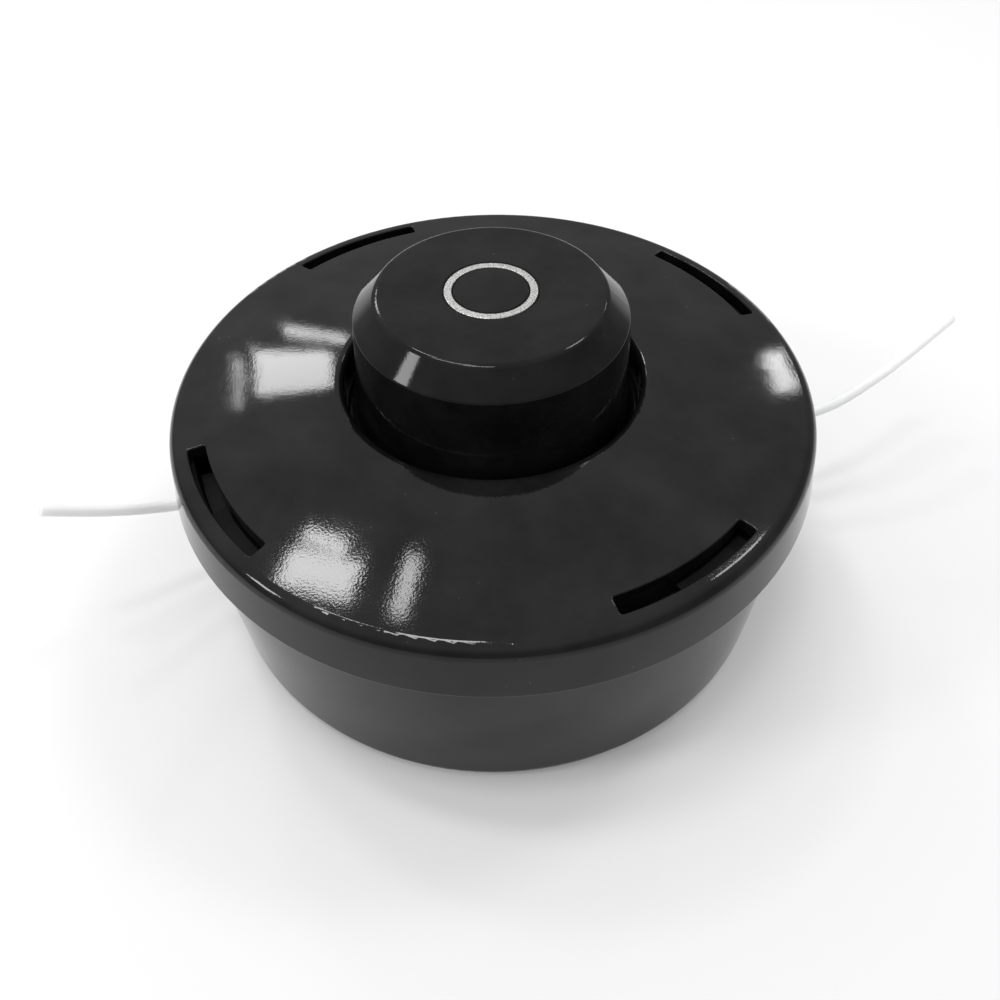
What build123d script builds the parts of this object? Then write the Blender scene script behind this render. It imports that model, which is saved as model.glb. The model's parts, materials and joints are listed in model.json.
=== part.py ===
from build123d import *
import math
import os

# Bump-feed trimmer head, knob upward. The head turns about Z and its base lies on Z = 0.
# Lengths are in millimetres and angles in degrees.

# Cover
cover_diameter = 127.0
cover_wall = 2.3
skirt_wall = 1.9
skirt_height = 10.15
skirt_flare = 11.0
skirt_overlap = 7.5
rim_rounding = 2.7
crown_rise = 2.75
knob_hole_diameter = 57.4
hole_edge_rounding = 1.5
collar_wall = 2.2
edge_rounding = 0.4

# Bayonet between cover and housing
bayonet_count = 4
slot_centre_angle = 33.0
slot_span = 28.6
slot_width = 3.2
slot_corner_rounding = 0.5
slot_edge_rounding = 0.35
foot_span = 28.0
foot_thickness = 2.0
leg_thickness = 2.2
lug_span = 27.0
lug_thickness = 2.2
lug_lead_angle = 12.0
lug_top_gap = 1.2
bayonet_clearance = 0.3
stop_clearance_angle = 0.5

# Housing
wall_height = 45.4
mouth_wall = 1.7
mouth_clearance = 0.35
drum_draft = 0.8
skirt_clearance = 0.4
base_rounding = 3.2
floor_thickness = 2.5
foot_height = 3.0
foot_width = 7.0
inner_corner_rounding = 2.5
underside_rib_count = 8
underside_rib_thickness = 1.8
underside_rib_setback = 0.6
centre_boss_diameter = 30.0
post_base_diameter = 28.0
post_diameter = 22.0
post_base_height = 8.0
spigot_height = 3.0
spigot_clearance = 0.7

# Drive nut, M10 x 1.25 left-hand
nut_width = 17.0
nut_height = 12.0
thread_diameter = 10.0
thread_pitch = 1.25
thread_lead_in = 0.7
shaft_clearance = 0.5
shaft_room = 10.0

# Line and eyelets
line_diameter = 2.4
eyelet_angle = 9.0
eyelet_height = 24.0
eyelet_bore = 4.2
eyelet_wall = 1.6
eyelet_lip = 1.4
eyelet_lip_thickness = 1.2
eyelet_inset = 0.55
eyelet_boss_depth = 2.3
eyelet_boss_margin = 2.4
line_meeting_depth = 1.4
line_bend_room = 6.5

# Spool
flange_thickness = 2.0
flange_clearance = 1.6
chamber_width = 11.0
hub_diameter = 44.0
hub_wall = 2.5
divider_diameter = 72.0
floor_clearance = 2.0
neck_height = 6.0
notch_width = 3.0
notch_depth = 6.0
winding_turns = 4
winding_depth = 9.0
winding_clearance = 0.05
lead_clearance = 0.3

# Index teeth in the hub and dogs on the post
dog_count = 4
dog_span = 20.0
dog_height = 4.0
dog_clearance = 0.7
tooth_span = 20.0
tooth_height = 4.0
tooth_row_rise = 12.7
dog_engagement = 2.7
row_overlap = 0.5
running_clearance = 0.08
tooth_gap_angle = 0.5
tap_travel = 5.5

# Knob
knob_diameter = 50.2
knob_draft = 5.2
knob_wall = 2.4
knob_rise = 17.4
crown_chamfer = 4.35
crown_wall = 2.6
crown_rounding = 1.4
shoulder_rounding = 0.5
knob_flange_width = 5.0
knob_flange_thickness = 1.8
knob_flange_fillet = 1.2
tap_gap = 0.2
neck_clearance = 0.2
knob_rib_count = 8
knob_rib_thickness = 1.6
knob_rib_drop = 8.6
barb_span = 14.0
barb_reach = 1.1
barb_height = 2.4
barb_clearance = 0.1
window_margin_angle = 1.0
tongue_slit_angle = 2.2

# Wear ring in the crown
ring_outer_diameter = 16.8
ring_inner_diameter = 14.0
ring_depth = 2.4
ring_edge = 0.15
groove_chamfer = 0.4
crown_core = 2.0

# Spring and its seat
spring_wire = 1.6
spring_mean_diameter = 18.8
spring_turns = 6.5
seat_thickness = 1.2
seat_collar = 2.0
seat_collar_wall = 1.2
seat_clearance = 0.3
seat_guide_depth = 3.0
seat_guide_wall = 1.9

# Radii and heights that follow
cover_radius = cover_diameter / 2
skirt_slope = math.tan(math.radians(skirt_flare))
skirt_inner_radius = cover_radius - skirt_wall / math.cos(math.radians(skirt_flare))
skirt_bottom = wall_height - skirt_overlap
rim_top = skirt_bottom + skirt_height
rim_radius = cover_radius - skirt_height * skirt_slope
roof_radius = skirt_inner_radius - (skirt_height - cover_wall) * skirt_slope
drum_radius = skirt_inner_radius - skirt_clearance
mouth_radius = skirt_inner_radius - skirt_overlap * skirt_slope - mouth_clearance
drum_inner_radius = mouth_radius - mouth_wall
hole_radius = knob_hole_diameter / 2
hole_top = rim_top + crown_rise
crown_slope = crown_rise / (rim_radius - hole_radius)
collar_radius = hole_radius + collar_wall

lug_top = wall_height - lug_top_gap
lug_bottom = lug_top - lug_thickness
foot_top = lug_bottom - bayonet_clearance
foot_bottom = foot_top - foot_thickness
slot_outer_radius = drum_inner_radius + bayonet_clearance
slot_inner_radius = slot_outer_radius - slot_width
foot_radius = drum_inner_radius - bayonet_clearance
lug_radius = slot_inner_radius + bayonet_clearance
leg_inner_radius = slot_inner_radius - leg_thickness

floor_top = foot_height + floor_thickness
post_radius = post_diameter / 2
thread_minor_radius = thread_diameter / 2 - 0.5413 * thread_pitch
eyelet_radius = eyelet_bore / 2 + eyelet_wall
eyelet_lip_radius = eyelet_radius + eyelet_lip
line_radius = line_diameter / 2

spool_bottom = floor_top + tap_travel + floor_clearance
lower_chamber = spool_bottom + flange_thickness
divider_bottom = lower_chamber + chamber_width
upper_chamber = divider_bottom + flange_thickness
top_flange = upper_chamber + chamber_width
spool_top = top_flange + flange_thickness
flange_radius = leg_inner_radius - flange_clearance
hub_radius = hub_diameter / 2
hub_bore_radius = hub_radius - hub_wall
winding_radius = hub_radius + winding_depth

lower_row_top = spool_bottom + tooth_row_rise + tooth_height
dog_bottom = lower_row_top - dog_engagement
post_top = dog_bottom + dog_height
upper_row_bottom = lower_row_top + dog_height - row_overlap
dog_radius = hub_bore_radius - dog_clearance
tooth_tip_radius = post_radius + running_clearance
dog_pitch = 360 / dog_count
lower_tooth_angle = dog_span / 2 + tooth_span / 2 + tooth_gap_angle
upper_tooth_angle = lower_tooth_angle + dog_pitch / 2

knob_radius = knob_diameter / 2
knob_inner_radius = knob_radius - knob_wall
knob_top = hole_top + knob_rise
knob_shoulder = knob_top - crown_chamfer
knob_flange_top = spool_top + knob_flange_thickness
collar_bottom = knob_flange_top + tap_gap
knob_base_radius = knob_radius + (knob_shoulder - knob_flange_top) * math.tan(math.radians(knob_draft))
knob_flange_radius = knob_base_radius + knob_flange_width
neck_radius = knob_inner_radius - neck_clearance
crown_inside = knob_top - crown_wall
seat_top = knob_top - ring_depth - crown_core
seat_bottom_face = seat_top - seat_thickness
spring_radius = spring_mean_diameter / 2
spring_inner_radius = spring_radius - spring_wire / 2
seat_radius_outer = spring_radius + spring_wire
window_bottom = spool_top + knob_wall - neck_clearance
barb_bottom = window_bottom + barb_clearance


def turned(*corners):
    """Solid of revolution about Z from (radius, height, rounding) corners."""
    points = [(radius, 0, height) for radius, height, rounding in corners]
    roundings = [rounding for radius, height, rounding in corners]
    outline = FilletPolyline(*points, radius=roundings, close=True)
    return revolve(make_face(outline.edges()), axis=Axis.Z)


def sector(inner, outer, bottom, top, centre, span):
    """Part of a ring, as wide as span, about a direction in the XY plane."""
    corners = [(inner, 0, bottom), (outer, 0, bottom), (outer, 0, top), (inner, 0, top)]
    outline = Polyline(*corners, close=True)
    block = revolve(make_face(outline.edges()), axis=Axis.Z, revolution_arc=span)
    return Rot(0, 0, centre - span / 2) * block


def around(count, first=0.0):
    """Directions of evenly spaced features."""
    return [first + step * 360 / count for step in range(count)]


def polar(radius, angle, height):
    """Point at a radius and direction about Z."""
    turn = math.radians(angle)
    return (radius * math.cos(turn), radius * math.sin(turn), height)


def drum_outside(height):
    """Outer radius of the drum below the skirt, which narrows toward its base."""
    return drum_radius - (skirt_bottom - height) * math.tan(math.radians(drum_draft))


def drum_inside(height):
    """Inner radius of the drum, which narrows toward its floor."""
    return drum_inner_radius - (wall_height - height) * math.tan(math.radians(drum_draft))


def cover_top(radius):
    """Height of the cover's dished top."""
    return hole_top - (radius - hole_radius) * crown_slope


def round_slot(point):
    """Whether a point lies on the top edge of a slot."""
    radius = math.hypot(point.X, point.Y)
    beside = slot_edge_rounding / 4
    in_ring = slot_inner_radius - beside < radius < slot_outer_radius + beside
    return in_ring and point.Z > cover_top(radius) - beside


def cover():
    """Dished disc with a skirt, a collar that holds the knob, slots and bayonet legs."""
    disc = turned(
        (cover_radius, skirt_bottom, edge_rounding),
        (rim_radius, rim_top, rim_rounding),
        (hole_radius, hole_top, hole_edge_rounding),
        (hole_radius, collar_bottom, edge_rounding),
        (collar_radius, collar_bottom, edge_rounding),
        (collar_radius, cover_top(collar_radius) - cover_wall, 0),
        (roof_radius, cover_top(roof_radius) - cover_wall, edge_rounding),
        (skirt_inner_radius, skirt_bottom, edge_rounding),
    )
    for angle in around(bayonet_count, slot_centre_angle):
        slot = sector(slot_inner_radius, slot_outer_radius, foot_top, hole_top, angle, slot_span)
        disc -= fillet(slot.edges().filter_by(Axis.Z), slot_corner_rounding)
    disc = fillet([edge for edge in disc.edges() if round_slot(edge.center())], slot_edge_rounding)
    roof = cover_top(slot_inner_radius) - cover_wall / 2
    for angle in around(bayonet_count, slot_centre_angle):
        leg = sector(leg_inner_radius, slot_inner_radius, foot_bottom, roof, angle, foot_span)
        foot = sector(leg_inner_radius, foot_radius, foot_bottom, foot_top, angle, foot_span)
        disc = disc + leg + foot
    return disc


def bayonet_lug(angle):
    """Lug inside the drum's mouth with the stop that a foot turns against."""
    centre = angle + lug_lead_angle
    lug_end = centre + lug_span / 2
    stop_start = angle + foot_span / 2 + stop_clearance_angle
    bed = drum_inner_radius + mouth_wall / 2
    lug = sector(lug_radius, bed, lug_bottom, lug_top, centre, lug_span)
    stop_span = lug_end - stop_start
    stop_centre = (lug_end + stop_start) / 2
    stop = sector(lug_radius, bed, foot_bottom, lug_top, stop_centre, stop_span)
    return lug + stop


def housing():
    """Drum with floor, centre post, dogs, bayonet lugs and eyelet bosses."""
    boss_radius = centre_boss_diameter / 2
    foot_inner = drum_outside(0) - foot_width
    post_base = floor_top + post_base_height
    post_step = (post_base_diameter - post_diameter) / 2
    body = turned(
        (0, 0, 0),
        (boss_radius, 0, edge_rounding),
        (boss_radius, foot_height, 0),
        (foot_inner, foot_height, 0),
        (foot_inner, 0, edge_rounding),
        (drum_outside(0), 0, base_rounding),
        (drum_radius, skirt_bottom, 0),
        (mouth_radius, wall_height, edge_rounding),
        (drum_inner_radius, wall_height, edge_rounding),
        (drum_inside(floor_top), floor_top, inner_corner_rounding),
        (post_base_diameter / 2, floor_top, edge_rounding),
        (post_base_diameter / 2, post_base, 0),
        (post_radius, post_base + post_step, 0),
        (post_radius, post_top, 0),
        (spring_inner_radius - spigot_clearance, post_top, 0),
        (spring_inner_radius - spigot_clearance, post_top + spigot_height, edge_rounding),
        (0, post_top + spigot_height, 0),
    )
    for angle in around(dog_count):
        dog = sector(post_radius / 2, dog_radius, dog_bottom, post_top, angle, dog_span)
        body += dog
    for angle in around(bayonet_count, slot_centre_angle):
        body += bayonet_lug(angle)
    rib_length = foot_inner - boss_radius + edge_rounding * 2
    rib_height = foot_height - underside_rib_setback + floor_thickness / 2
    rib = Pos(
        (foot_inner + boss_radius) / 2, 0, underside_rib_setback + rib_height / 2
    ) * Box(rib_length, underside_rib_thickness, rib_height)
    for angle in around(underside_rib_count):
        body += Rot(0, 0, angle) * rib
    nut_pocket = extrude(RegularPolygon(nut_width / 2, 6, major_radius=False), nut_height)
    shaft_hole = Pos(0, 0, nut_height) * Cylinder(
        thread_diameter / 2 + shaft_clearance,
        shaft_room,
        align=(Align.CENTER, Align.CENTER, Align.MIN),
    )
    body = body - nut_pocket - shaft_hole
    for angle in around(2, eyelet_angle):
        body = body + eyelet_boss(angle) - eyelet_hole(angle)
    return body


def radial(angle, shape):
    """Turn a shape made along Z so that it points outward at the eyelets' height."""
    return Rot(0, 0, angle) * Pos(0, 0, eyelet_height) * Rot(0, 90, 0) * shape


def rod(radius, start, end):
    """Round bar along Z."""
    bar = Cylinder(radius, end - start, align=(Align.CENTER, Align.CENTER, Align.MIN))
    return Pos(0, 0, start) * bar


eyelet_face = drum_outside(eyelet_height) - eyelet_inset
eyelet_inner_end = drum_inside(eyelet_height) - eyelet_boss_depth
eyelet_mouth = eyelet_face + eyelet_lip_thickness
line_meeting = eyelet_mouth - line_meeting_depth


def eyelet_boss(angle):
    """Round boss on the drum's inside that carries an eyelet."""
    boss_radius = eyelet_radius + eyelet_boss_margin
    return radial(angle, rod(boss_radius, eyelet_inner_end, drum_inside(eyelet_height) + mouth_wall / 2))


def eyelet_hole(angle):
    """Hole for an eyelet with the flat face that its lip sits on."""
    seat = rod(eyelet_lip_radius + bayonet_clearance, eyelet_face, cover_radius)
    return radial(angle, rod(eyelet_radius, 0.8 * eyelet_inner_end, cover_radius) + seat)


def line_eyelet(angle):
    """Metal bush with a rolled lip and rounded mouths for the line."""
    bore = eyelet_bore / 2
    bush = turned(
        (bore, eyelet_inner_end, eyelet_wall / 2),
        (eyelet_radius, eyelet_inner_end, eyelet_wall / 4),
        (eyelet_radius, eyelet_face, 0),
        (eyelet_lip_radius, eyelet_face, 0),
        (eyelet_lip_radius, eyelet_mouth, eyelet_lip / 3),
        (bore, eyelet_mouth, eyelet_wall / 2),
    )
    return radial(angle, bush)


def drive_nut():
    """Hexagon insert with a threaded bore, flush with the base."""
    hexagon = extrude(RegularPolygon(nut_width / 2, 6, major_radius=False), nut_height)
    bore = rod(thread_minor_radius, 0, nut_height)
    mouth = thread_minor_radius + thread_lead_in
    low_mouth = Cone(mouth, thread_minor_radius, thread_lead_in)
    lift = thread_lead_in / 2
    high_mouth = Pos(0, 0, nut_height - lift) * Rot(180, 0, 0) * low_mouth
    return hexagon - bore - Pos(0, 0, lift) * low_mouth - high_mouth


def index_teeth(bottom, first):
    """One row of teeth in the hub, as many as the dogs."""
    row = [
        sector(
            tooth_tip_radius,
            hub_bore_radius + hub_wall / 2,
            bottom,
            bottom + tooth_height,
            angle,
            tooth_span,
        )
        for angle in around(dog_count, first)
    ]
    return row


def barb(angle):
    """Snap barb on the spool's neck, flat below and sloped above."""
    root = neck_radius - hub_wall / 4
    tip = neck_radius + barb_reach
    corners = [
        (root, 0, barb_bottom),
        (tip, 0, barb_bottom),
        (tip, 0, barb_bottom + barb_height / 3),
        (neck_radius, 0, barb_bottom + barb_height),
        (root, 0, barb_bottom + barb_height),
    ]
    outline = Polyline(*corners, close=True)
    block = revolve(make_face(outline.edges()), axis=Axis.Z, revolution_arc=barb_span)
    return Rot(0, 0, angle - barb_span / 2) * block


def line_notch(angle, outer, bottom):
    """Slot in a flange edge that parks the line."""
    block = Box(notch_depth * 2, notch_width, flange_thickness * 2)
    return Rot(0, 0, angle) * Pos(outer, 0, bottom + flange_thickness / 2) * block


def spool():
    """Two-chamber spool with index teeth and snap tongues."""
    neck_top = spool_top + neck_height
    body = turned(
        (hub_bore_radius, spool_bottom, 0),
        (flange_radius, spool_bottom, edge_rounding),
        (flange_radius, lower_chamber, edge_rounding),
        (hub_radius, lower_chamber, 0),
        (hub_radius, divider_bottom, 0),
        (divider_diameter / 2, divider_bottom, edge_rounding),
        (divider_diameter / 2, upper_chamber, edge_rounding),
        (hub_radius, upper_chamber, 0),
        (hub_radius, top_flange, 0),
        (flange_radius, top_flange, edge_rounding),
        (flange_radius, spool_top, edge_rounding),
        (neck_radius, spool_top, 0),
        (neck_radius, neck_top, edge_rounding),
        (hub_bore_radius, neck_top, 0),
    )
    for tooth in index_teeth(lower_row_top - tooth_height, lower_tooth_angle):
        body += tooth
    for tooth in index_teeth(upper_row_bottom, upper_tooth_angle):
        body += tooth
    for angle in around(dog_count, dog_pitch / 2):
        body += barb(angle)
        for side in (-1, 1):
            edge = angle + side * (barb_span + tongue_slit_angle) / 2
            body -= sector(
                hub_bore_radius - 1,
                neck_radius + barb_reach,
                spool_top + edge_rounding,
                neck_top + 1,
                edge,
                tongue_slit_angle,
            )
    for angle in around(2, eyelet_angle):
        body -= line_notch(angle, flange_radius, top_flange)
    return body - line_notch(eyelet_angle, divider_diameter / 2, divider_bottom)


def winding(chamber_bottom):
    """Line wound in one chamber, with the outer turns showing."""
    centre = chamber_bottom + chamber_width / 2
    outer = winding_radius - line_radius
    inner = hub_radius + winding_clearance
    width = winding_turns * line_diameter
    plane = Plane.XZ
    section = plane * Pos((inner + outer) / 2, centre) * Rectangle(outer - inner, width)
    for turn in range(winding_turns):
        height = centre - width / 2 + line_radius + turn * line_diameter
        section += plane * Pos(outer, height) * Circle(line_radius)
    return revolve(section, axis=Axis.Z)


def tube(points):
    """Round line along straight runs joined by tangent arcs, with its bend radii."""
    spots = [Vector(*point) for point in points]
    radii = []
    for before, here, after in zip(spots, spots[1:], spots[2:]):
        turn = math.radians((here - before).get_angle(after - here))
        run = min((here - before).length, (after - here).length)
        radii.append(0.45 * run / math.tan(turn / 2))
    path = FilletPolyline(*points, radius=radii)
    start = Plane(origin=path @ 0, z_dir=path % 0)
    line = sweep(start * Circle(line_radius), path=path)
    fill = line.volume / (math.pi * line_radius**2 * path.length)
    print("line", round(path.length, 2), [round(radius, 1) for radius in radii], round(fill, 4))
    return line


def line_lead(angle, chamber_bottom, bends):
    """Line from the winding's edge through the drum to the middle of an eyelet."""
    meeting = Vector(*polar(line_meeting, angle, eyelet_height))
    outward = Vector(*bends[0]).normalized()
    bend = meeting - outward * line_bend_room
    bend_radius = math.hypot(bend.X, bend.Y)
    bend_angle = math.degrees(math.atan2(bend.Y, bend.X))
    lead_radius = winding_radius + line_radius + lead_clearance
    start_angle = bend_angle + math.degrees(math.acos(lead_radius / bend_radius))
    way = Vector(*polar(1, start_angle - 90, 0))
    clear_radius = divider_diameter / 2 + line_radius + 2 * lead_clearance
    clear_run = math.sqrt(clear_radius**2 - lead_radius**2)
    low = chamber_bottom + (chamber_width - tap_travel) / 2
    start = Vector(*polar(lead_radius, start_angle, low))
    slope = math.copysign(lead_clearance, eyelet_height - low)
    clear = start + way * clear_run + Vector(0, 0, slope)
    return tube([tuple(start), tuple(clear), tuple(bend), tuple(meeting)])


def free_end(angle, bends):
    """Line outside an eyelet, from the middle of its bore to the cut end."""
    meeting = Vector(*polar(line_meeting, angle, eyelet_height))
    return tube([tuple(meeting)] + [tuple(meeting + Vector(*bend)) for bend in bends])


def spring():
    """Compression spring with flat ends between the post and its seat."""
    length = seat_bottom_face - post_top
    pitch = length / spring_turns
    coil = Helix(pitch, length + spring_wire, spring_radius)
    start = Plane(origin=coil @ 0, z_dir=coil % 0)
    wire = sweep(start * Circle(spring_wire / 2), path=coil, is_frenet=True)
    room = rod(2 * spring_radius, 0, length)
    return Pos(0, 0, post_top) * (Pos(0, 0, -spring_wire / 2) * wire & room)


def spring_seat():
    """Washer between the spring and the knob, with a collar inside the coil."""
    collar_radius = spring_inner_radius - spigot_clearance
    return turned(
        (collar_radius - seat_collar_wall, seat_top, 0),
        (collar_radius - seat_collar_wall, seat_bottom_face - seat_collar, 0),
        (collar_radius, seat_bottom_face - seat_collar, edge_rounding),
        (collar_radius, seat_bottom_face, 0),
        (seat_radius_outer, seat_bottom_face, 0),
        (seat_radius_outer, seat_top, 0),
    )


def bump_knob():
    """Hollow knob with a chamfered crown, a retaining flange and snap windows."""
    ring_outer = ring_outer_diameter / 2
    ring_inner = ring_inner_diameter / 2
    guide = seat_radius_outer + seat_clearance
    guide_bottom = seat_top - seat_guide_depth
    slant = knob_radius + knob_shoulder - knob_wall * math.sqrt(2)
    body = turned(
        (knob_inner_radius, spool_top, 0),
        (knob_flange_radius, spool_top, edge_rounding),
        (knob_flange_radius, knob_flange_top, edge_rounding),
        (knob_base_radius, knob_flange_top, knob_flange_fillet),
        (knob_radius, knob_shoulder, shoulder_rounding),
        (knob_radius - crown_chamfer, knob_top, crown_rounding),
        (ring_outer + groove_chamfer, knob_top, 0),
        (ring_outer, knob_top - groove_chamfer, 0),
        (ring_outer, knob_top - ring_depth, 0),
        (ring_inner, knob_top - ring_depth, 0),
        (ring_inner, knob_top - groove_chamfer, 0),
        (ring_inner - groove_chamfer, knob_top, 0),
        (0, knob_top, 0),
        (0, seat_top, 0),
        (guide, seat_top, 0),
        (guide, guide_bottom, 0),
        (guide + seat_guide_wall, guide_bottom, 0),
        (guide + seat_guide_wall, crown_inside, 0),
        (slant - crown_inside, crown_inside, 0),
        (knob_inner_radius, slant - knob_inner_radius, 0),
    )
    root = guide + seat_guide_wall / 2
    bite = knob_wall / 4
    low = crown_inside - knob_rib_drop
    rib_corners = [
        (root, low),
        (knob_inner_radius + bite, low),
        (knob_inner_radius + bite, slant - knob_inner_radius),
        (slant - crown_inside, crown_inside + bite),
        (root, crown_inside + bite),
    ]
    outline = make_face(Polyline(*rib_corners, close=True).edges())
    rib = extrude(Plane.XZ * outline, knob_rib_thickness / 2, both=True)
    for angle in around(knob_rib_count):
        body += Rot(0, 0, angle) * rib
    window_top = barb_bottom + barb_height + barb_clearance
    for angle in around(dog_count, dog_pitch / 2):
        body -= sector(
            neck_radius - knob_wall,
            knob_flange_radius,
            window_bottom,
            window_top,
            angle,
            barb_span + 2 * window_margin_angle,
        )
    return body


def wear_ring():
    """Metal ring let into the crown, flush with it."""
    outer = ring_outer_diameter / 2
    inner = ring_inner_diameter / 2
    return turned(
        (inner, knob_top - ring_depth, 0),
        (outer, knob_top - ring_depth, 0),
        (outer, knob_top, ring_edge),
        (inner, knob_top, ring_edge),
    )


# Bends of the free ends, measured from the middle of the eyelet
right_bends = [(14.3, 2.1, 1.2), (27.8, 7.9, 7.0), (38.6, 15.3, 10.2), (47.9, 22.8, 11.5)]
left_bends = [(-7.1, -1.9, 0.6), (-13.2, -5.7, 4.0), (-19.6, -9.6, 8.3), (-25.7, -13.1, 13.0)]

nodes = {
    "housing": housing(),
    "drive_nut": drive_nut(),
    "line_eyelet_right": line_eyelet(eyelet_angle),
    "line_eyelet_left": line_eyelet(eyelet_angle + 180),
    "cover": cover(),
    "spool": spool(),
    "line_winding_upper": winding(upper_chamber),
    "line_winding_lower": winding(lower_chamber),
    "line_lead_right": line_lead(eyelet_angle, upper_chamber, right_bends),
    "line_lead_left": line_lead(eyelet_angle + 180, lower_chamber, left_bends),
    "line_end_right": free_end(eyelet_angle, right_bends),
    "line_end_left": free_end(eyelet_angle + 180, left_bends),
    "spring": spring(),
    "spring_seat": spring_seat(),
    "bump_knob": bump_knob(),
    "wear_ring": wear_ring(),
}

os.makedirs("parts", exist_ok=True)
for name, shape in nodes.items():
    export_step(shape, "parts/" + name + ".step")
    print(name, len(shape.solids()), shape.is_valid, round(shape.volume / 1000, 2))
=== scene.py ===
import bpy
import json
import math
from mathutils import Matrix, Vector


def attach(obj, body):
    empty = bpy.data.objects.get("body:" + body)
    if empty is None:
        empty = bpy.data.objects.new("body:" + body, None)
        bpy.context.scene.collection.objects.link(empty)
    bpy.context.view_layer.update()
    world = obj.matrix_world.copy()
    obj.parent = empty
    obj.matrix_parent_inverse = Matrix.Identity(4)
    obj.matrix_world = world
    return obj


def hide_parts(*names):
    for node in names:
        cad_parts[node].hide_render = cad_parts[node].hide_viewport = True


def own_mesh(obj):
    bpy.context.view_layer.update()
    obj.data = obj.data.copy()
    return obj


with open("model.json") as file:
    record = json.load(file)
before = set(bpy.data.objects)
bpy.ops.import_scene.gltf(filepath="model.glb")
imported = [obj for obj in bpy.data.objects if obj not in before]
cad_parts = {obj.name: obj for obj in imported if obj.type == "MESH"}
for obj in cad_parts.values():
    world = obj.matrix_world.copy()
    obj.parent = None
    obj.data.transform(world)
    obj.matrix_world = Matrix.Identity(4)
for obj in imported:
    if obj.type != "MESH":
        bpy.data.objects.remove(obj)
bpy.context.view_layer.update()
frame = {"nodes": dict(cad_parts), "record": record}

# Lengths are in metres, in the frame of the CAD model: Z is the turning axis, -Y faces the camera.

# Camera, from the ellipses of the skirt, the knob and the wear ring
camera_elevation = math.radians(40.888)
camera_distance = 0.16112
camera_target_height = 0.047
camera_pitch = math.radians(-8.357)
camera_yaw = math.radians(0.348)
camera_roll = math.radians(-1.140)
camera_lens = 29.17
sensor_width = 36.0

# Line ends: the middle of each eyelet, and the bends measured from there
line_diameter = 0.0024
line_exit_radius = 0.06022
line_exit_angle = 9.0
line_exit_height = 0.0240
right_bends = [
    (0.0143, 0.0021, 0.0012),
    (0.0278, 0.0079, 0.0070),
    (0.0386, 0.0153, 0.0102),
    (0.0479, 0.0228, 0.0115),
]
left_bends = [
    (-0.0071, -0.0019, 0.0006),
    (-0.0132, -0.0057, 0.0040),
    (-0.0196, -0.0096, 0.0083),
    (-0.0257, -0.0131, 0.0130),
]

# Drive nut with its left-hand M10 x 1.25 thread
nut_width = 0.017
nut_height = 0.012
thread_radius = 0.005
thread_minor_radius = 0.004323
thread_pitch = 0.00125
thread_lead_in = 0.0007
thread_flat = 0.125  # flat crest and root, as a share of the groove's depth
thread_steps_per_turn = 72
thread_rings_per_pitch = 12

# Sizes of the marks in the finishes
cloud_size = 0.012
scuff_size = 0.004
speck_spacing = 0.0031
speck_width = 0.00022
ring_mark_pitch = 0.00022
ring_pit_size = 0.00035

# Matt plastic on hidden inner faces
matt_roughness = 0.8
matt_border = 0.0002

# Studio: a bright ceiling over darker walls, a pale floor
floor_size = 6.0
floor_colour = 0.78
floor_glow = 0.08
ceiling_light = 0.80
wall_light = 0.36
ceiling_axis = (-0.18, 0.10, 1.0)
ceiling_edge = (0.35, 0.80)
lamp_aim = Vector((0, 0, 0.049))

# Panes of light that the glossy plastic reflects: place, width, height, roll in degrees, radiance
window_panes = {
    "window_main": ((-0.382, 0.767, 0.640), 0.106, 0.108, -22, 15),
    "window_bar": ((-0.336, 0.832, 0.576), 0.090, 0.024, -30, 12),
    "window_sliver": ((-0.453, 0.735, 0.630), 0.009, 0.120, -28, 11),
    "roof_light": ((-0.324, 0.433, 0.939), 0.062, 0.140, 34, 25),
    "roof_light_strip": ((-0.322, 0.480, 0.916), 0.022, 0.090, 31, 28),
    "roof_light_bar": ((-0.173, 0.407, 0.992), 0.030, 0.092, -38, 19),
    "side_light": ((0.492, 0.727, 0.609), 0.030, 0.088, 41, 17),
    "left_window": ((-0.828, -0.195, 0.606), 0.150, 0.150, 0, 18),
    "right_window": ((0.500, 0.360, 0.885), 0.200, 0.160, 0, 14),
    "ceiling_strip": ((-0.250, 0.130, 1.000), 0.100, 0.300, 13, 18),
    "ceiling_pane": ((-0.115, -0.080, 1.042), 0.110, 0.230, -41, 20),
}


def make_camera():
    data = bpy.data.cameras.new("camera")
    data.sensor_width = sensor_width
    data.lens = camera_lens
    data.clip_start = 0.01
    camera = bpy.data.objects.new("camera", data)
    bpy.context.scene.collection.objects.link(camera)
    turn = Matrix.Rotation(math.pi / 2 - camera_elevation + camera_pitch, 4, "X")
    turn = turn @ Matrix.Rotation(-camera_yaw, 4, "Y") @ Matrix.Rotation(camera_roll, 4, "Z")
    away = Vector((0, -math.cos(camera_elevation), math.sin(camera_elevation)))
    place = Vector((0, 0, camera_target_height)) + away * camera_distance
    camera.matrix_world = Matrix.Translation(place) @ turn
    bpy.context.scene.camera = camera


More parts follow.
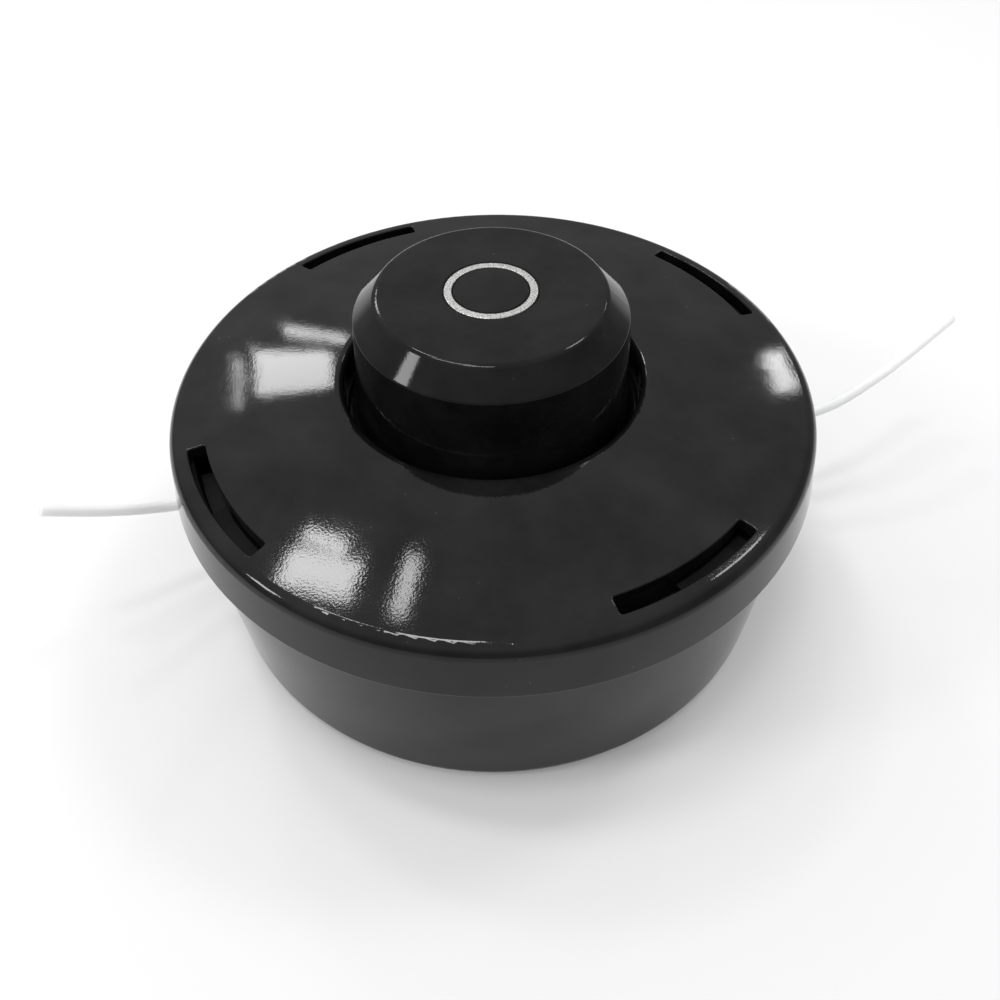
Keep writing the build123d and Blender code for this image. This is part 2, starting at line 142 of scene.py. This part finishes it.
class Look:
    """A node material with the few steps that every finish here uses."""

    def __init__(self, name):
        self.material = bpy.data.materials.new(name)
        self.material.use_nodes = True
        self.tree = self.material.node_tree
        self.shader = self.tree.nodes["Principled BSDF"]
        self.place = self.tree.nodes.new("ShaderNodeTexCoord").outputs["Object"]

    def set(self, **values):
        for name, value in values.items():
            socket = self.shader.inputs[name.replace("_", " ")]
            socket.default_value = value

    def link(self, output, name):
        self.tree.links.new(output, self.shader.inputs[name])

    def noise(self, size, detail=2.0, roughness=0.5, stretch=(1, 1, 1)):
        """Noise with lumps of about the given size."""
        scaling = self.tree.nodes.new("ShaderNodeMapping")
        scaling.inputs["Scale"].default_value = stretch
        self.tree.links.new(self.place, scaling.inputs["Vector"])
        node = self.tree.nodes.new("ShaderNodeTexNoise")
        node.inputs["Scale"].default_value = 1 / size
        node.inputs["Detail"].default_value = detail
        node.inputs["Roughness"].default_value = roughness
        self.tree.links.new(scaling.outputs["Vector"], node.inputs["Vector"])
        return node.outputs["Fac"]

    def specks(self, spacing, width):
        """Sparse round specks: 1 at a speck, 0 elsewhere."""
        node = self.tree.nodes.new("ShaderNodeTexVoronoi")
        node.inputs["Scale"].default_value = 1 / spacing
        self.tree.links.new(self.place, node.inputs["Vector"])
        return self.ramp(node.outputs["Distance"], 0.5 * width / spacing, width / spacing, 1, 0)

    def radius(self):
        """Distance from the turning axis."""
        flat = self.tree.nodes.new("ShaderNodeVectorMath")
        flat.operation = "MULTIPLY"
        flat.inputs[1].default_value = (1, 1, 0)
        self.tree.links.new(self.place, flat.inputs[0])
        length = self.tree.nodes.new("ShaderNodeVectorMath")
        length.operation = "LENGTH"
        self.tree.links.new(flat.outputs["Vector"], length.inputs[0])
        return length.outputs["Value"]

    def height(self):
        """Height above the base."""
        node = self.tree.nodes.new("ShaderNodeSeparateXYZ")
        self.tree.links.new(self.place, node.inputs["Vector"])
        return node.outputs["Z"]

    def maths(self, operation, first, second):
        node = self.tree.nodes.new("ShaderNodeMath")
        node.operation = operation
        for socket, value in zip(node.inputs, (first, second)):
            if isinstance(value, (int, float)):
                socket.default_value = value
            else:
                self.tree.links.new(value, socket)
        return node.outputs["Value"]

    def ramp(self, value, low, high, at_low, at_high):
        """Value carried from the range low..high to at_low..at_high, and held at both ends."""
        node = self.tree.nodes.new("ShaderNodeMapRange")
        node.inputs["From Min"].default_value = low
        node.inputs["From Max"].default_value = high
        node.inputs["To Min"].default_value = at_low
        node.inputs["To Max"].default_value = at_high
        self.tree.links.new(value, node.inputs["Value"])
        return node.outputs["Result"]

    def mix(self, amount, first, second):
        """Colour that goes from first to second; each is a tuple or an output."""
        node = self.tree.nodes.new("ShaderNodeMix")
        node.data_type = "RGBA"
        self.tree.links.new(amount, node.inputs["Factor"])
        for socket, colour in ((node.inputs[6], first), (node.inputs[7], second)):
            if isinstance(colour, tuple):
                socket.default_value = (*colour, 1)
            else:
                self.tree.links.new(colour, socket)
        return node.outputs[2]

    def bump(self, height, depth, below=None):
        node = self.tree.nodes.new("ShaderNodeBump")
        node.inputs["Distance"].default_value = depth
        self.tree.links.new(height, node.inputs["Height"])
        if below is not None:
            self.tree.links.new(below, node.inputs["Normal"])
        return node.outputs["Normal"]


def moulded_plastic(name, shade, ior, roughness, reliefs, dust, matt_radius=0.0, matt_height=1.0):
    """Black moulded plastic with sink marks, ripple, fine grain, faint scuffs and dust.

    It is matt where it is both nearer the axis and lower than the two limits.
    """
    look = Look(name)
    look.set(IOR=ior)
    outside = look.ramp(look.radius(), matt_radius - matt_border, matt_radius, 0, 1)
    above = look.ramp(look.height(), matt_height - matt_border, matt_height, 0, 1)
    matt = look.ramp(look.maths("MAXIMUM", outside, above), 0, 1, matt_roughness, 0)
    surface = None
    for size, depth in reliefs:
        surface = look.bump(look.noise(size, 1.5), depth, surface)
    look.link(surface, "Normal")
    cloud = look.noise(cloud_size, 4.0, 0.6)
    scuff = look.noise(scuff_size, 6.0, 0.7, (1, 6, 1))
    polish = look.ramp(cloud, 0.35, 0.7, roughness * 0.85, roughness * 1.25)
    look.link(look.maths("MAXIMUM", polish, matt), "Roughness")
    dark = tuple(channel * 0.4 for channel in shade)
    pale = tuple(channel * 2.6 for channel in shade)
    colour = look.mix(look.ramp(cloud, 0.3, 0.7, 0, 1), dark, pale)
    worn = tuple(channel + 0.018 for channel in shade)
    colour = look.mix(look.ramp(scuff, 0.66, 0.78, 0, 0.6), colour, worn)
    powder = tuple(channel + 0.10 for channel in shade)
    dusty = look.ramp(cloud, 0.52, 0.62, 0, dust)
    speck = look.maths("MULTIPLY", look.specks(speck_spacing, speck_width), dusty)
    look.link(look.mix(speck, colour, powder), "Base Color")
    return look.material


def nylon_line(name):
    """Milky nylon with faint drawing marks."""
    look = Look(name)
    look.set(IOR=1.45, Subsurface_Weight=1.0, Subsurface_Scale=0.0025)
    look.shader.inputs["Subsurface Radius"].default_value = (1.0, 1.0, 0.97)
    cloud = look.noise(0.006, 3.0)
    look.link(look.mix(cloud, (0.93, 0.93, 0.925), (0.97, 0.97, 0.965)), "Base Color")
    look.link(look.ramp(cloud, 0.3, 0.7, 0.28, 0.42), "Roughness")
    look.link(look.bump(look.noise(0.0007, 3.0, 0.6, (0.2, 1, 1)), 0.00002), "Normal")
    return look.material


def steel(name, shade, roughness):
    """Plated steel with fine marks and duller patches."""
    look = Look(name)
    look.set(Metallic=1.0)
    cloud = look.noise(0.003, 4.0, 0.6)
    duller = tuple(channel * 0.8 for channel in shade)
    look.link(look.mix(look.ramp(cloud, 0.35, 0.65, 0, 1), shade, duller), "Base Color")
    look.link(look.ramp(cloud, 0.3, 0.7, roughness * 0.8, roughness * 1.3), "Roughness")
    look.link(look.bump(look.noise(0.0004, 4.0, 0.6), 0.000008), "Normal")
    return look.material


def turned_ring(name):
    """Matt turned metal: circular tool marks and small dark pits."""
    look = Look(name)
    look.set(Metallic=1.0)
    marks = look.maths("SINE", look.maths("MULTIPLY", look.radius(), 2 * math.pi / ring_mark_pitch), 0)
    pits = look.noise(ring_pit_size, 5.0, 0.7)
    colour = look.mix(look.ramp(pits, 0.36, 0.56, 0, 1), (0.22, 0.22, 0.22), (0.66, 0.66, 0.65))
    look.link(colour, "Base Color")
    look.link(look.ramp(pits, 0.35, 0.65, 0.62, 0.42), "Roughness")
    surface = look.bump(look.ramp(marks, -1, 1, 0, 1), 0.000006)
    look.link(look.bump(pits, 0.00002, surface), "Normal")
    return look.material


def make_line_end(side, bends, angle, material):
    """Free end of the line, as a cord from the eyelet's middle through its bends."""
    turn = math.radians(angle)
    across = line_exit_radius * Vector((math.cos(turn), math.sin(turn), 0))
    exit_point = across + Vector((0, 0, line_exit_height))
    route = [exit_point] + [exit_point + Vector(bend) for bend in bends]
    name = "line_end_" + side
    curve = bpy.data.curves.new(name + "_cord", "CURVE")
    curve.dimensions = "3D"
    curve.bevel_depth = line_diameter / 2
    curve.bevel_resolution = 6
    curve.resolution_u = 16
    curve.use_fill_caps = True
    spline = curve.splines.new("NURBS")
    spline.points.add(len(route) - 1)
    for point, place in zip(spline.points, route):
        point.co = (*place, 1)
    spline.order_u = 3
    spline.use_endpoint_u = True
    curve.materials.append(material)
    piece = bpy.data.objects.new(name + "_cord", curve)
    bpy.context.scene.collection.objects.link(piece)
    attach(piece, "head")
    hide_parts(name)


def thread_bore(angle, height):
    """Radius of the nut's threaded bore, with a lead-in at both ends."""
    phase = (height / thread_pitch + angle / (2 * math.pi)) % 1
    flank = (1 + 2 * thread_flat) * (1 - abs(2 * phase - 1)) - thread_flat
    groove = min(1, max(0, flank))
    cut = thread_minor_radius + (thread_radius - thread_minor_radius) * groove
    nearest_end = min(height, nut_height - height)
    return max(cut, thread_minor_radius + thread_lead_in - nearest_end)


def make_threaded_nut(material):
    """Hexagon nut as one closed mesh with a real helical thread."""
    steps = thread_steps_per_turn
    rings = round(nut_height / thread_pitch * thread_rings_per_pitch)
    angles = [2 * math.pi * step / steps for step in range(steps)]
    points = []
    for ring in range(rings + 1):
        height = nut_height * ring / rings
        for angle in angles:
            radius = thread_bore(angle, height)
            points.append((radius * math.cos(angle), radius * math.sin(angle), height))
    outer = len(points)
    for height in (0, nut_height):
        for angle in angles:
            off_flat = (angle + math.pi / 6) % (math.pi / 3) - math.pi / 6
            radius = nut_width / 2 / math.cos(off_flat)
            around = angle + math.pi / 6
            points.append((radius * math.cos(around), radius * math.sin(around), height))
    faces = []
    for step in range(steps):
        beside = (step + 1) % steps
        for ring in range(rings):
            low, high = ring * steps, (ring + 1) * steps
            faces.append((low + beside, low + step, high + step, high + beside))
        top = outer + steps
        last = rings * steps
        faces.append((outer + step, outer + beside, top + beside, top + step))
        faces.append((step, beside, outer + beside, outer + step))
        faces.append((last + beside, last + step, top + step, top + beside))
    mesh = bpy.data.meshes.new("threaded_nut")
    mesh.from_pydata(points, [], faces)
    for polygon in mesh.polygons:
        polygon.use_smooth = max(polygon.vertices) < outer
    mesh.materials.append(material)
    piece = bpy.data.objects.new("threaded_nut", mesh)
    bpy.context.scene.collection.objects.link(piece)
    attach(piece, "head")
    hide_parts("drive_nut")


def make_spring(material):
    """The spring's coil, copied from the CAD spring with the steel finish and carried with the head."""
    node = frame["nodes"]["spring"]
    piece = bpy.data.objects.new("spring_coil", node.data.copy())
    piece.matrix_world = node.matrix_world
    piece.data.materials.clear()
    piece.data.materials.append(material)
    bpy.context.scene.collection.objects.link(piece)
    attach(piece, "head")
    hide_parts("spring")
    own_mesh(piece)


def make_world():
    """Light from all round that grows from the walls to the ceiling."""
    world = bpy.data.worlds.new("world")
    bpy.context.scene.world = world
    world.use_nodes = True
    tree = world.node_tree
    place = tree.nodes.new("ShaderNodeTexCoord")
    toward = tree.nodes.new("ShaderNodeVectorMath")
    toward.operation = "DOT_PRODUCT"
    toward.inputs[1].default_value = ceiling_axis
    tree.links.new(place.outputs["Generated"], toward.inputs[0])
    shade = tree.nodes.new("ShaderNodeMapRange")
    shade.inputs["From Min"].default_value = ceiling_edge[0]
    shade.inputs["From Max"].default_value = ceiling_edge[1]
    shade.inputs["To Min"].default_value = wall_light
    shade.inputs["To Max"].default_value = ceiling_light
    tree.links.new(toward.outputs["Value"], shade.inputs["Value"])
    tree.links.new(shade.outputs["Result"], tree.nodes["Background"].inputs["Color"])


def make_floor():
    mesh = bpy.data.meshes.new("floor")
    half = floor_size / 2
    corners = [(-half, -half, 0), (half, -half, 0), (half, half, 0), (-half, half, 0)]
    mesh.from_pydata(corners, [], [(0, 1, 2, 3)])
    floor = bpy.data.objects.new("floor", mesh)
    bpy.context.scene.collection.objects.link(floor)
    look = Look("floor")
    look.set(Base_Color=(floor_colour, floor_colour, floor_colour, 1), Emission_Color=(1, 1, 1, 1))
    look.set(Roughness=0.9, Specular_IOR_Level=0.0)
    path = look.tree.nodes.new("ShaderNodeLightPath")
    seen = look.maths("MAXIMUM", path.outputs["Is Camera Ray"], path.outputs["Is Glossy Ray"])
    seen = look.maths("MAXIMUM", seen, path.outputs["Is Transmission Ray"])
    look.link(look.maths("MULTIPLY", seen, floor_glow), "Emission Strength")
    mesh.materials.append(look.material)


def make_window_pane(name, place, width, height, roll, radiance):
    """Flat lamp of an even radiance that faces the part."""
    data = bpy.data.lights.new(name, "AREA")
    data.shape = "RECTANGLE"
    data.size = width
    data.size_y = height
    data.energy = radiance * math.pi * width * height
    lamp = bpy.data.objects.new(name, data)
    bpy.context.scene.collection.objects.link(lamp)
    facing = (lamp_aim - Vector(place)).to_track_quat("-Z", "Y").to_matrix().to_4x4()
    lamp.matrix_world = Matrix.Translation(place) @ facing @ Matrix.Rotation(math.radians(roll), 4, "Z")
    lamp.visible_camera = False


bpy.context.scene.view_settings.view_transform = "Standard"
make_camera()

nylon = nylon_line("nylon_line")
make_line_end("right", right_bends, line_exit_angle, nylon)
make_line_end("left", left_bends, line_exit_angle + 180, nylon)

plated_steel = steel("steel", (0.55, 0.56, 0.57), 0.32)
make_threaded_nut(plated_steel)
make_spring(plated_steel)

looks = {
    "black_plastic": moulded_plastic(
        "black_plastic", (0.0040, 0.0040, 0.0042), 1.27, 0.10,
        [(0.009, 12e-6), (0.0006, 3e-6)], 0.4, matt_radius=0.0590),
    "cover_plastic": moulded_plastic(
        "cover_plastic", (0.0040, 0.0040, 0.0042), 1.35, 0.05,
        [(0.008, 15e-6), (0.003, 5e-6), (0.0004, 5e-6)], 0.5, matt_radius=0.0600, matt_height=0.0445),
    "knob_plastic": moulded_plastic(
        "knob_plastic", (0.0045, 0.0045, 0.0047), 1.265, 0.08,
        [(0.008, 8e-6), (0.0004, 4e-6)], 0.4),
    "spool_plastic": moulded_plastic(
        "spool_plastic", (0.0080, 0.0080, 0.0083), 1.40, 0.42,
        [(0.006, 1e-5), (0.0006, 4e-6)], 0.3),
    "nylon_line": nylon,
    "steel": plated_steel,
    "eyelet_metal": steel("eyelet_metal", (0.62, 0.62, 0.61), 0.22),
    "ring_metal": turned_ring("ring_metal"),
}
for part in frame["record"]["subparts"]:
    node = frame["nodes"][part["node"]]
    node.data.materials.clear()
    node.data.materials.append(looks[part["material_slot"]])

make_world()
make_floor()
for pane, values in window_panes.items():
    make_window_pane(pane, *values)
